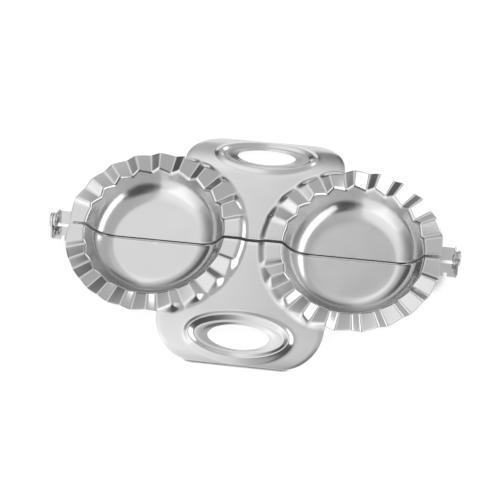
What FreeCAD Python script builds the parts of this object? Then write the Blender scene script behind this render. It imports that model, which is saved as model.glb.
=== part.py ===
import FreeCAD, Part
import math
import os
import Sketcher

# A double ravioli press: two pressed steel halves that fold together on two rivets.
# X runs along the hinge line, Y from the front half to the rear half, Z up from the table.

# Driving sizes in millimetres and degrees, one cell of the sheet each.
SIZES = {
    "mould_offset": 52.0,
    "rim_outer": 46.5,
    "rim_width": 10.0,
    "sheet_gauge": 0.7,
    "dish_depth": 11.5,
    "dish_fillet": 12.0,
    "wall_angle": 65.0,
    "wave_height": 2.4,
    "wave_start": 15.0,
    "wave_rise_share": 0.62,
    "end_taper": 2.0,
    "wall_lap": 0.3,
    "skirt_setback": 0.8,
    "skirt_flare": 3.6,
    "skirt_taper": 0.33,
    "skirt_lap": 1.4,
    "web_drop": 1.4,
    "parting_gap": 1.2,
    "tab_flat": 39.0,
    "tab_reach": 66.6,
    "tab_tip_level": 1.34,
    "tab_half_width": 42.0,
    "tab_corner": 20.0,
    "ring_margin": 0.3,
    "ring_half_length": 28.2,
    "ring_half_width": 12.9,
    "bead_width": 5.6,
    "bead_height": 0.8,
    "ring_recess": 0.7,
    "hole_half_length": 14.7,
    "hole_half_width": 5.8,
    "pivot_rise": 0.5,
    "lug_gauge": 0.8,
    "lug_setback": 1.0,
    "lug_seat": 3.2,
    "lug_gap": 1.0,
    "lug_width": 7.4,
    "lug_bend": 0.5,
    "notch_stand": 4.4,
    "notch_width": 1.8,
    "notch_depth": 2.2,
    "ear_stand": 5.1,
    "ear_radius": 4.0,
    "ear_clear": 0.5,
    "ear_shoulder": 2.0,
    "running_gap": 0.05,
    "pin_radius": 1.75,
    "washer_gauge": 0.6,
    "washer_radius": 3.4,
    "head_radius": 4.0,
    "head_rise": 1.3,
    "clinch_radius": 3.0,
    "clinch_rise": 1.0,
}

# The ruffle has this many full waves along each half rim.
WAVE_COUNT = 9
# Waves of the skirted stretch beside the web, counted from the parting line.
SKIRT_WAVES = 4
# Tall enough to pass right through the press, half of it below the table.
THROUGH = 120.0
# Points closer together than this are one place.
NEAR = 1e-6
# Angle at which the side of an ear meets its round eye.
EYE_LEAN = 60

doc = FreeCAD.newDocument("RavioliPress")
sheet = doc.addObject("Spreadsheet::Sheet", "Sizes")
for row, (name, value) in enumerate(SIZES.items(), start=1):
    sheet.set(f"A{row}", name)
    sheet.set(f"B{row}", str(value))
    sheet.setAlias(f"B{row}", name)
doc.recompute()

# Levels and places that several pieces share.
RIM_LEVEL = "(Sizes.dish_depth + Sizes.sheet_gauge)"
WEB_LEVEL = f"({RIM_LEVEL} - Sizes.web_drop)"
PIVOT_LEVEL = f"({RIM_LEVEL} + Sizes.pivot_rise)"
TONGUE_LEVEL = f"({PIVOT_LEVEL} - Sizes.ear_radius - Sizes.ear_clear)"
RIM_INNER = "(Sizes.rim_outer - Sizes.rim_width)"
TAB_RUN = "(Sizes.tab_reach - Sizes.tab_flat)"
TAB_DROP = f"({WEB_LEVEL} - Sizes.tab_tip_level)"
TAB_BEND = f"({TAB_RUN}^2 + {TAB_DROP}^2) / (2 * {TAB_DROP})"
ROLL_LEVEL = f"({WEB_LEVEL} - {TAB_BEND})"
RING_CENTRE = "(Sizes.tab_reach - Sizes.ring_margin - Sizes.ring_half_width)"
REAR_EAR = "(Sizes.mould_offset + Sizes.rim_outer + Sizes.ear_stand)"
WASHER_FACE = f"({REAR_EAR} + Sizes.lug_gauge + Sizes.running_gap)"
FRONT_EAR = f"({WASHER_FACE} + Sizes.washer_gauge)"
HEAD_FACE = f"({FRONT_EAR} + Sizes.lug_gauge)"


def size(name):
    """Read one size from the sheet."""
    return float(getattr(sheet, name))


def worked(text):
    """Work out an expression on the sheet."""
    return float(sheet.evalExpression(text))


def bind(item, texts):
    """Tie properties of an object to expressions on the sheet."""
    for prop, text in texts.items():
        item.setExpression(prop, text)
    return item


def add(kind, name, texts=None):
    """Add an object to the document and tie its sizes."""
    return bind(doc.addObject(kind, name), texts or {})


def turned(item, axis, angle):
    """Turn an object about an axis through its own base."""
    item.Placement = FreeCAD.Placement(FreeCAD.Vector(), FreeCAD.Rotation(axis, angle))
    return item


def fuse(name, items):
    """Join several objects into one."""
    item = doc.addObject("Part::MultiFuse", name)
    item.Shapes = items
    return item


def pair(kind, name, base, tool):
    """Cut one object by another, or keep what they share."""
    item = doc.addObject(kind, name)
    item.Base = base
    item.Tool = tool
    return item


def mirrored(name, source, normal):
    """Reflect an object in a plane through the origin."""
    item = doc.addObject("Part::Mirroring", name)
    item.Source = source
    item.Normal = normal
    return item


# Pressed halves


def dish(name, side):
    """Revolve the sheet section of one round dish: floor, fillet and sloping wall."""
    gauge = size("sheet_gauge")
    fillet = size("dish_fillet")
    slope = math.radians(size("wall_angle"))
    rim = size("dish_depth") + gauge
    top = rim - size("wave_height") / 2 - gauge
    mouth = worked(RIM_INNER)
    lip = mouth - (rim - top) / math.tan(slope)
    floor = mouth - size("dish_depth") / math.tan(slope) - fillet * math.tan(slope / 2)
    centre = FreeCAD.Vector(floor, gauge + fillet, 0)
    start = -math.pi / 2
    up = FreeCAD.Vector(0, 0, 1)

    def arc(radius):
        return Part.ArcOfCircle(Part.Circle(centre, up, radius), start, start + slope)

    def line(first, last):
        return Part.LineSegment(FreeCAD.Vector(*first, 0), FreeCAD.Vector(*last, 0))

    inner = arc(fillet)
    outer = arc(fillet + gauge)
    thick = gauge / math.sin(slope)
    sketch = doc.addObject("Sketcher::SketchObject", f"{name}_section")
    turned(sketch, FreeCAD.Vector(1, 0, 0), 90)
    sketch.addGeometry(
        [
            line((0, gauge), (floor, gauge)),
            inner,
            line((inner.EndPoint.x, inner.EndPoint.y), (lip, top)),
            line((lip, top), (lip + thick, top)),
            line((lip + thick, top), (outer.EndPoint.x, outer.EndPoint.y)),
            outer,
            line((floor, 0), (0, 0)),
            line((0, 0), (0, gauge)),
        ]
    )
    floor_line, fillet_arc, wall_line, lip_line, back_line, back_arc, under_line, axis_line = range(8)
    joins = [
        ("Tangent", floor_line, 2, fillet_arc, 1),
        ("Tangent", fillet_arc, 2, wall_line, 1),
        ("Coincident", wall_line, 2, lip_line, 1),
        ("Coincident", lip_line, 2, back_line, 1),
        ("Tangent", back_line, 2, back_arc, 2),
        ("Tangent", back_arc, 1, under_line, 1),
        ("Coincident", under_line, 2, axis_line, 1),
        ("Coincident", axis_line, 2, floor_line, 1),
        ("Coincident", under_line, 2, -1, 1),
        ("Coincident", fillet_arc, 3, back_arc, 3),
        ("Horizontal", floor_line),
        ("Horizontal", lip_line),
        ("Horizontal", under_line),
        ("Vertical", axis_line),
        ("Parallel", wall_line, back_line),
    ]
    for join in joins:
        sketch.addConstraint(Sketcher.Constraint(*join))
    top_text = f"{RIM_LEVEL} - Sizes.wave_height / 2 - Sizes.sheet_gauge"
    lip_text = f"{RIM_INNER} - (Sizes.wave_height / 2 + Sizes.sheet_gauge) / tan(Sizes.wall_angle)"
    dims = [
        (("Radius", fillet_arc, fillet), "Sizes.dish_fillet"),
        (("DistanceY", axis_line, 1, axis_line, 2, gauge), "Sizes.sheet_gauge"),
        (("DistanceX", -1, 1, wall_line, 2, lip), lip_text),
        (("DistanceY", -1, 1, wall_line, 2, top), top_text),
        (("Angle", wall_line, slope), "Sizes.wall_angle * 1 deg"),
    ]
    for constraint, text in dims:
        index = sketch.addConstraint(Sketcher.Constraint(*constraint))
        sketch.setExpression(f"Constraints[{index}]", text)
    bind(sketch, {"Placement.Base.x": f"{side} * Sizes.mould_offset"})
    solid = add("Part::Revolution", name, {"Base.x": f"{side} * Sizes.mould_offset"})
    solid.Source = sketch
    solid.Axis = FreeCAD.Vector(0, 0, 1)
    solid.Angle = 360
    solid.Solid = True
    return solid


def wave_stations():
    """List the angle and height share of each crease, from one parting line to the other."""
    start = size("wave_start")
    step = (180 - 2 * start) / WAVE_COUNT
    rise = step * size("wave_rise_share")
    first = start + (step - rise) / 2
    stations = [(0, 0), (start / 2, 0), (start, 0)]
    for wave in range(WAVE_COUNT):
        valley = first + wave * step
        stations.append((valley, -1))
        stations.append((valley + rise, 1))
    stations += [(180 - start, 0), (180 - start / 2, 0), (180, 0)]
    return stations


def web_height(reach):
    """Give the height of the top of the web and tab at a distance from the hinge line."""
    bend = worked(TAB_BEND)
    run = max(0, reach - size("tab_flat"))
    return worked(WEB_LEVEL) - bend + math.sqrt(bend**2 - run**2)


def rim_section(angle, share, half, side, skirted):
    """Draw the sheet section of the rim at one crease, with the wall top and maybe the skirt."""
    gauge = size("sheet_gauge")
    slope = math.radians(size("wall_angle"))
    thick = gauge / math.sin(slope)
    rim = size("dish_depth") + gauge
    swing = size("wave_height") / 2
    top = rim + half * share * swing
    toe = rim - swing - 2 * gauge
    bore = worked(RIM_INNER) + size("wall_lap")

    def wall(level):
        return bore + (level - rim) / math.tan(slope)

    profile = [(wall(toe) + thick, toe), (wall(toe), toe), (wall(top), top)]
    if skirted:
        edge = size("rim_outer") - size("skirt_setback") - size("skirt_taper") * (top - rim)
        foot = size("rim_outer") + size("skirt_flare")
        ground = web_height(foot * math.sin(math.radians(angle)))
        profile += [(edge, top), (foot, ground - gauge / 4), (foot, ground - gauge * 3 / 4)]
        profile.append((edge - size("skirt_taper") * gauge, top - gauge))
    else:
        from_hinge = angle if side > 0 else 180 - angle
        taper = max(0, 1 - from_hinge / size("wave_start")) * size("end_taper")
        profile += [(size("rim_outer") - taper, top), (size("rim_outer") - taper, top - gauge)]
    profile.append((wall(top - gauge) + thick, top - gauge))
    turn = math.radians(angle)
    points = [
        FreeCAD.Vector(
            side * size("mould_offset") + radius * math.cos(turn),
            half * radius * math.sin(turn),
            level,
        )
        for radius, level in profile
    ]
    return Part.makePolygon(points + points[:1])


def ruffle(name, half, side):
    """Loft the ruffled rim of one half mould straight from crease to crease."""
    stations = wave_stations()
    split = 2 + 2 * SKIRT_WAVES
    if side > 0:
        split = len(stations) - 1 - split
    near = stations[: split + 1]
    far = stations[split:]
    stretches = [(near, side < 0), (far, side > 0)]
    lofts = []
    for stretch, skirted in stretches:
        wires = [rim_section(angle, share, half, side, skirted) for angle, share in stretch]
        lofts.append(Part.makeLoft(wires, True, True))
    item = doc.addObject("Part::Feature", name)
    item.Shape = lofts[0].fuse(lofts[1])
    return item


def oval(name, half_length, half_width):
    """Stand an oval prism on the middle of the tab."""
    edge = add("Part::Ellipse", f"{name}_edge", {"MajorRadius": half_length, "MinorRadius": half_width})
    bind(edge, {"Placement.Base.y": RING_CENTRE})
    solid = doc.addObject("Part::Extrusion", name)
    solid.Base = edge
    solid.DirMode = "Custom"
    solid.Dir = FreeCAD.Vector(0, 0, 1)
    solid.LengthFwd = THROUGH
    solid.Symmetric = True
    solid.Solid = True
    return solid


def sheet_layer(name, above, below):
    """Make the level and rolled layer of the web between two heights over its top face."""
    across = {"Length": "2 * Sizes.tab_half_width", "Placement.Base.x": "-Sizes.tab_half_width"}
    flat = add("Part::Box", f"{name}_flat", across)
    bind(
        flat,
        {
            "Width": "Sizes.tab_flat",
            "Height": f"{above} - ({below})",
            "Placement.Base.z": f"{WEB_LEVEL} + {below}",
        },
    )
    beyond = add("Part::Box", f"{name}_beyond", across)
    bind(
        beyond,
        {
            "Width": "Sizes.tab_reach",
            "Height": f"{TAB_BEND} + {THROUGH}",
            "Placement.Base.y": "Sizes.tab_flat",
            "Placement.Base.z": ROLL_LEVEL,
        },
    )
    rolls = []
    for face, height in (("top", above), ("under", below)):
        roll = add("Part::Cylinder", f"{name}_{face}", {"Radius": f"{TAB_BEND} + {height}"})
        turned(roll, FreeCAD.Vector(0, 1, 0), 90)
        bind(
            roll,
            {
                "Height": "2 * Sizes.tab_half_width",
                "Placement.Base.x": "-Sizes.tab_half_width",
                "Placement.Base.y": "Sizes.tab_flat",
                "Placement.Base.z": ROLL_LEVEL,
            },
        )
        rolls.append(roll)
    rolled = pair("Part::Common", f"{name}_rolled", pair("Part::Cut", f"{name}_roll", *rolls), beyond)
    return fuse(name, [flat, rolled])


def tab_plan():
    """Outline the web and tab from above: a rounded tab with the two moulds cut away."""
    body = add(
        "Part::Box",
        "plan_body",
        {
            "Length": "2 * Sizes.tab_half_width",
            "Width": "Sizes.tab_reach - Sizes.tab_corner",
            "Placement.Base.x": "-Sizes.tab_half_width",
        },
    )
    nose = add(
        "Part::Box",
        "plan_nose",
        {
            "Length": "2 * (Sizes.tab_half_width - Sizes.tab_corner)",
            "Width": "Sizes.tab_reach",
            "Placement.Base.x": "Sizes.tab_corner - Sizes.tab_half_width",
        },
    )
    pieces = [body, nose]
    holes = []
    for side, word in ((-1, "left"), (1, "right")):
        pieces.append(
            add(
                "Part::Cylinder",
                f"plan_corner_{word}",
                {
                    "Radius": "Sizes.tab_corner",
                    "Placement.Base.x": f"{side} * (Sizes.tab_half_width - Sizes.tab_corner)",
                    "Placement.Base.y": "Sizes.tab_reach - Sizes.tab_corner",
                },
            )
        )
        holes.append(
            add(
                "Part::Cylinder",
                f"plan_mould_{word}",
                {
                    "Radius": "Sizes.rim_outer + Sizes.skirt_flare - Sizes.skirt_lap",
                    "Placement.Base.x": f"{side} * Sizes.mould_offset",
                },
            )
        )
    for piece in pieces + holes:
        piece.Height = THROUGH
        bind(piece, {"Placement.Base.z": f"-{THROUGH / 2}"})
    return pair("Part::Cut", "tab_plan", fuse("plan_outline", pieces), fuse("plan_moulds", holes))


def pressed_ring():
    """Press the ring of the tab: rise, crown and fall of a bead, then a sunk floor with the finger hole."""
    gauge = "Sizes.sheet_gauge"
    crown = "Sizes.bead_height"
    sunk = f"-Sizes.ring_recess - {gauge}"
    insets = ["0", gauge, f"Sizes.bead_width - {gauge}", "Sizes.bead_width"]
    lines = []
    for index, inset in enumerate(insets):
        half_length = f"Sizes.ring_half_length - ({inset})"
        half_width = f"Sizes.ring_half_width - ({inset})"
        lines.append(oval(f"ring_line_{index}", half_length, half_width))
    lines.append(oval("finger_hole", "Sizes.hole_half_length", "Sizes.hole_half_width"))
    bands = [
        ("ring_rise", crown, f"-{gauge}"),
        ("ring_crown", crown, f"{crown} - {gauge}"),
        ("ring_fall", crown, sunk),
        ("ring_floor", "-Sizes.ring_recess", sunk),
    ]
    pieces = []
    for (name, above, below), outer, inner in zip(bands, lines, lines[1:]):
        layer = sheet_layer(f"{name}_layer", above, below)
        plan = pair("Part::Cut", f"{name}_plan", outer, inner)
        pieces.append(pair("Part::Common", name, layer, plan))
    return lines[0], pieces


def web_and_tab():
    """Shape the rear web and tab: level beside the hinge, then rolled down to the table."""
    outside, ring = pressed_ring()
    plan = pair("Part::Cut", "ringless_plan", tab_plan(), outside)
    web = pair("Part::Common", "web_sheet", sheet_layer("web_layer", "0", "-Sizes.sheet_gauge"), plan)
    return fuse("rear_web", [web] + ring)


def half_space(name, half):
    """Cover everything on one side of the parting gap."""
    box = add("Part::Box", name, {"Length": f"2 * {REAR_EAR}", "Width": "Sizes.tab_reach"})
    box.Height = THROUGH
    start = "Sizes.parting_gap / 2" if half > 0 else "-Sizes.parting_gap / 2 - Sizes.tab_reach"
    bind(box, {"Placement.Base.x": f"-{REAR_EAR}", "Placement.Base.y": start})
    return bind(box, {"Placement.Base.z": f"-{THROUGH / 2}"})


def pressed_halves():
    """Press both halves from sheet, each with two half dishes, ruffled rims, web and tab."""
    dishes = [dish("dish_left", -1), dish("dish_right", 1)]
    rear_web = web_and_tab()
    front_web = mirrored("front_web", rear_web, FreeCAD.Vector(0, 1, 0))
    plates = []
    for half, word, web in ((1, "rear", rear_web), (-1, "front", front_web)):
        rims = [ruffle(f"{word}_rim_left", half, -1), ruffle(f"{word}_rim_right", half, 1)]
        whole = fuse(f"{word}_pressing", dishes + rims + [web])
        plate = pair("Part::Common", f"{word}_plate", whole, half_space(f"{word}_space", half))
        plates.append(plate)
    return plates


# Hinge pieces


def origin_plane(body, role):
    """Find one of the body's own origin planes."""
    return next(plane for plane in body.Origin.OriginFeatures if plane.Role == role)


def body_sketch(body, name, role, offsets):
    """Attach a sketch to a plane of its body, with tied offsets."""
    sketch = body.newObject("Sketcher::SketchObject", name)
    sketch.AttachmentSupport = (origin_plane(body, role), [""])
    sketch.MapMode = "FlatFace"
    return bind(sketch, {f"AttachmentOffset.Base.{axis}": text for axis, text in offsets.items()})


def outline(sketch, corners):
    """Draw a closed outline whose corners follow expressions on the sheet."""
    count = len(corners)
    start = [FreeCAD.Vector(worked(across), worked(along), 0) for across, along in corners]
    for i in range(count):
        sketch.addGeometry(Part.LineSegment(start[i], start[(i + 1) % count]))
    for i, texts in enumerate(corners):
        sketch.addConstraint(Sketcher.Constraint("Coincident", i, 2, (i + 1) % count, 1))
        for kind, text, place in zip(("DistanceX", "DistanceY"), texts, start[i]):
            index = sketch.addConstraint(Sketcher.Constraint(kind, -1, 1, i, 1, place))
            sketch.setExpression(f"Constraints[{index}]", text)


def circle(sketch, radius, level=None):
    """Draw a circle on the vertical axis of a sketch, at its origin or at a level."""
    height = worked(level) if level else 0
    start = worked(radius)
    ring = sketch.addGeometry(Part.Circle(FreeCAD.Vector(0, height, 0), FreeCAD.Vector(0, 0, 1), start))
    if level:
        sketch.addConstraint(Sketcher.Constraint("PointOnObject", ring, 3, -2))
        index = sketch.addConstraint(Sketcher.Constraint("DistanceY", -1, 1, ring, 3, height))
        sketch.setExpression(f"Constraints[{index}]", level)
    else:
        sketch.addConstraint(Sketcher.Constraint("Coincident", ring, 3, -1, 1))
    index = sketch.addConstraint(Sketcher.Constraint("Radius", ring, start))
    sketch.setExpression(f"Constraints[{index}]", radius)


def pad(body, name, sketch, length):
    """Pad a sketch along its normal."""
    feature = bind(body.newObject("PartDesign::Pad", name), {"Length": length})
    feature.Profile = sketch
    return feature


def round_bends(body, name, places, radius):
    """Round the edges that run across a strip at the given places."""
    doc.recompute()
    base = body.Tip
    corners = [(worked(across), worked(level)) for across, level in places]
    names = []
    for index, edge in enumerate(base.Shape.Edges, start=1):
        ends = [vertex.Point for vertex in edge.Vertexes]
        for across, level in corners:
            if all(math.hypot(end.x - across, end.z - level) < NEAR for end in ends):
                names.append(f"Edge{index}")
    feature = bind(body.newObject("PartDesign::Fillet", name), {"Radius": radius})
    feature.Base = (base, names)


def lug(name, ear, half, hole):
    """Bend a hinge lug from strip: pad under the rim, riser, tongue and upright ear."""
    body = doc.addObject("PartDesign::Body", name)
    gauge = "Sizes.lug_gauge"
    seat = f"{RIM_LEVEL} - Sizes.sheet_gauge"
    end = f"{ear} + {gauge}"
    riser = "(Sizes.mould_offset + Sizes.rim_outer - Sizes.end_taper - Sizes.lug_setback)"
    back = f"{riser} - Sizes.lug_seat"
    near = "Sizes.lug_gap"
    far = "Sizes.lug_gap + Sizes.lug_width"
    strip = body_sketch(body, f"{name}_strip", "XZ_Plane", {"z": f"-({near})" if half > 0 else near})
    outline(
        strip,
        [
            (back, seat),
            (riser, seat),
            (riser, TONGUE_LEVEL),
            (end, TONGUE_LEVEL),
            (end, f"{TONGUE_LEVEL} - {gauge}"),
            (f"{riser} - {gauge}", f"{TONGUE_LEVEL} - {gauge}"),
            (f"{riser} - {gauge}", f"{seat} - {gauge}"),
            (back, f"{seat} - {gauge}"),
        ],
    )
    bent = pad(body, f"{name}_bent", strip, "Sizes.lug_width")
    bent.Reversed = half > 0
    ear_sketch = body_sketch(body, f"{name}_ear_outline", "YZ_Plane", {"z": ear})
    sign = "" if half > 0 else "-1 * "
    outline(
        ear_sketch,
        [
            (f"{sign}({near})", f"{TONGUE_LEVEL} - {gauge}"),
            (f"{sign}({far})", f"{TONGUE_LEVEL} - {gauge}"),
            (f"{sign}({far})", f"{TONGUE_LEVEL} + Sizes.ear_shoulder"),
            (
                f"{sign}Sizes.ear_radius * cos({EYE_LEAN})",
                f"{PIVOT_LEVEL} + Sizes.ear_radius * sin({EYE_LEAN})",
            ),
            ("0", PIVOT_LEVEL),
            (f"{sign}({near})", f"{TONGUE_LEVEL} + Sizes.ear_shoulder"),
        ],
    )
    pad(body, f"{name}_ear", ear_sketch, gauge)
    inner_bends = [
        (f"{riser} - {gauge}", f"{seat} - {gauge}"),
        (riser, TONGUE_LEVEL),
        (ear, TONGUE_LEVEL),
    ]
    outer_bends = [
        (riser, seat),
        (f"{riser} - {gauge}", f"{TONGUE_LEVEL} - {gauge}"),
        (end, f"{TONGUE_LEVEL} - {gauge}"),
    ]
    round_bends(body, f"{name}_inner_bends", inner_bends, "Sizes.lug_bend")
    round_bends(body, f"{name}_outer_bends", outer_bends, f"Sizes.lug_bend + {gauge}")
    eye = body_sketch(body, f"{name}_eye_outline", "YZ_Plane", {"z": ear})
    circle(eye, "Sizes.ear_radius", PIVOT_LEVEL)
    pad(body, f"{name}_eye", eye, gauge)
    bore = body_sketch(body, f"{name}_bore_outline", "YZ_Plane", {"z": ear})
    circle(bore, hole, PIVOT_LEVEL)
    cut = bind(body.newObject("PartDesign::Pocket", f"{name}_bore"), {"Length": gauge})
    cut.Profile = bore
    cut.Reversed = True
    if half < 0:
        notch(body, name, ear, far)
    return body


def notch(body, name, ear, far):
    """Cut the relief notch in the front edge of a tongue, beside its ear."""
    sketch = body_sketch(body, f"{name}_notch_outline", "XY_Plane", {"z": TONGUE_LEVEL})
    right = f"{ear} - Sizes.notch_stand"
    left = f"{right} - Sizes.notch_width"
    outer = f"-1 * ({far})"
    inner = f"{outer} + Sizes.notch_depth"
    outline(sketch, [(left, outer), (right, outer), (right, inner), (left, inner)])
    cut = bind(body.newObject("PartDesign::Pocket", f"{name}_notch"), {"Length": "Sizes.lug_gauge"})
    cut.Profile = sketch


def rivet(name):
    """Turn a rivet: clinched end, pin and low domed head."""
    body = doc.addObject("PartDesign::Body", name)
    profile = body_sketch(body, f"{name}_profile", "XZ_Plane", {"y": PIVOT_LEVEL})
    inner = f"({REAR_EAR} - Sizes.running_gap)"
    outline(
        profile,
        [
            (f"{inner} - Sizes.clinch_rise", "0"),
            (f"{inner} - Sizes.clinch_rise", "Sizes.clinch_radius - Sizes.clinch_rise / 2"),
            (f"{inner} - Sizes.clinch_rise / 2", "Sizes.clinch_radius"),
            (inner, "Sizes.clinch_radius"),
            (inner, "Sizes.pin_radius"),
            (HEAD_FACE, "Sizes.pin_radius"),
            (HEAD_FACE, "Sizes.head_radius"),
            (f"{HEAD_FACE} + Sizes.head_rise / 2", "Sizes.head_radius - Sizes.head_rise / 4"),
            (f"{HEAD_FACE} + Sizes.head_rise", "Sizes.head_radius - Sizes.head_rise"),
            (f"{HEAD_FACE} + Sizes.head_rise", "0"),
        ],
    )
    turn = body.newObject("PartDesign::Revolution", f"{name}_turned")
    turn.Profile = profile
    turn.ReferenceAxis = (profile, ["H_Axis"])
    turn.Angle = 360
    return body


def washer(name):
    """Cut a plain washer that keeps the two ears apart."""
    body = doc.addObject("PartDesign::Body", name)
    ring = body_sketch(body, f"{name}_outline", "YZ_Plane", {"z": WASHER_FACE})
    circle(ring, "Sizes.washer_radius", PIVOT_LEVEL)
    circle(ring, "Sizes.pin_radius", PIVOT_LEVEL)
    pad(body, f"{name}_ring", ring, "Sizes.washer_gauge")
    return body


def hinge_pieces():
    """Make the right hinge piece by piece and reflect it to the left."""
    right = {
        "rear_lug": lug("rear_lug_right", REAR_EAR, 1, "Sizes.pin_radius + Sizes.running_gap"),
        "front_lug": lug("front_lug_right", FRONT_EAR, -1, "Sizes.pin_radius"),
        "rivet": rivet("rivet_right"),
        "washer": washer("washer_right"),
    }
    across = FreeCAD.Vector(1, 0, 0)
    left = [mirrored(f"{word}_left", body, across) for word, body in right.items()]
    return list(right.values()) + left


subparts = pressed_halves() + hinge_pieces()
doc.recompute()

failed = [item.Name for item in doc.Objects if {"Invalid", "Error"} & set(item.State)]
for item in subparts:
    if item.Shape.isNull() or not item.Shape.isValid() or len(item.Shape.Solids) != 1:
        failed.append(f"{item.Label} shape")
if failed:
    raise RuntimeError("Failed: " + ", ".join(failed))

os.makedirs("parts", exist_ok=True)
for item in subparts:
    item.Shape.exportStep(f"parts/{item.Label}.step")
    print(f"{item.Label}: {item.Shape.Volume:.1f} mm3")
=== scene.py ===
"""A double ravioli press of pressed stainless steel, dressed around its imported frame.

Lengths in the classes are millimetres and angles are degrees. Every piece is worked out in the part's
own frame: X along the hinge, Y from the front half to the rear half, Z up from the table.
"""

import logging
from dataclasses import dataclass, field
from enum import Enum

import bpy
import numpy as np
from mathutils import Matrix, Vector

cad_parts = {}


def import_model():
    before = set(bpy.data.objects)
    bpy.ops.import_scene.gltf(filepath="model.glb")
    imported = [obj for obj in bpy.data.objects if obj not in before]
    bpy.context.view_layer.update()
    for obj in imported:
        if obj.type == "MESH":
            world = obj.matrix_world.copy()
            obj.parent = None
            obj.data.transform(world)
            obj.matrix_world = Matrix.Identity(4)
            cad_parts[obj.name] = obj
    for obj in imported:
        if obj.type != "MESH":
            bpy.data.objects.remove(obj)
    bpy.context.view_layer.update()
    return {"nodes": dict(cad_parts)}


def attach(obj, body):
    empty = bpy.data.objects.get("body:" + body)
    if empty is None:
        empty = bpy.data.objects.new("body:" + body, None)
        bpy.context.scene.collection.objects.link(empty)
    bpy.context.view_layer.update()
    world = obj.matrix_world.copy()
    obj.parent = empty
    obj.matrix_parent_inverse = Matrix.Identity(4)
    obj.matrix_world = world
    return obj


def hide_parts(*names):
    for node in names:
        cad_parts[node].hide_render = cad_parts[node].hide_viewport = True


MM = 0.001
WELD_STEP = 1e-4
log = logging.getLogger("ravioli_press")


class Half(Enum):
    """The two pressed halves, with the sign of Y on their side of the hinge."""

    REAR = 1
    FRONT = -1

    @property
    def word(self) -> str:
        """Name of the half as the frame writes it."""
        return self.name.lower()

    @property
    def body(self) -> str:
        """Body of the frame that the half moves with."""
        return f"{self.word}_half"


class Side(Enum):
    """The two ends of the press, with the sign of X on their side."""

    LEFT = -1
    RIGHT = 1

    @property
    def word(self) -> str:
        """Name of the side as the frame writes it."""
        return self.name.lower()

    def from_web(self, angle: np.ndarray) -> np.ndarray:
        """Measure angles round this side's mould from the parting line beside the web."""
        return angle if self is Side.LEFT else 180 - angle


class Grain(Enum):
    """Direction in which a surface was brushed, as the stretch of its streaks along X, Y and Z."""

    ALONG_PRESS = (0.03, 1.0, 1.0)
    ROUND_AXLE = (1.0, 0.4, 0.4)


# Meshes


def in_scene(name: str, data: bpy.types.ID) -> bpy.types.Object:
    """Make an object of a mesh, a lamp or a camera and put it in the scene.

    Args:
        name: Name of the object.
        data: What the object shows.

    Returns:
        The object, at the origin.
    """
    item = bpy.data.objects.new(name, data)
    bpy.context.scene.collection.objects.link(item)
    return item


def grid_quads(rows: int, columns: int, first: int) -> np.ndarray:
    """Index the four corners of every cell of a grid, row after row.

    Args:
        rows: Points along the first parameter.
        columns: Points along the second parameter.
        first: Index of the grid's first point.

    Returns:
        One row of four point indices for each cell.
    """
    index = first + np.arange(rows * columns).reshape(rows, columns)
    corners = (index[:-1, :-1], index[1:, :-1], index[1:, 1:], index[:-1, 1:])
    return np.stack(corners, axis=-1).reshape(-1, 4)


def facing_up(grid: np.ndarray) -> np.ndarray:
    """Turn a grid's columns round where its cells would face down.

    Args:
        grid: Array of points, rows by columns by three.

    Returns:
        The grid, whose cells face up on the whole.
    """
    across = grid[1:, 1:] - grid[:-1, :-1]
    along = grid[:-1, 1:] - grid[1:, :-1]
    return grid if np.cross(across, along)[..., 2].sum() > 0 else grid[:, ::-1]


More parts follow.
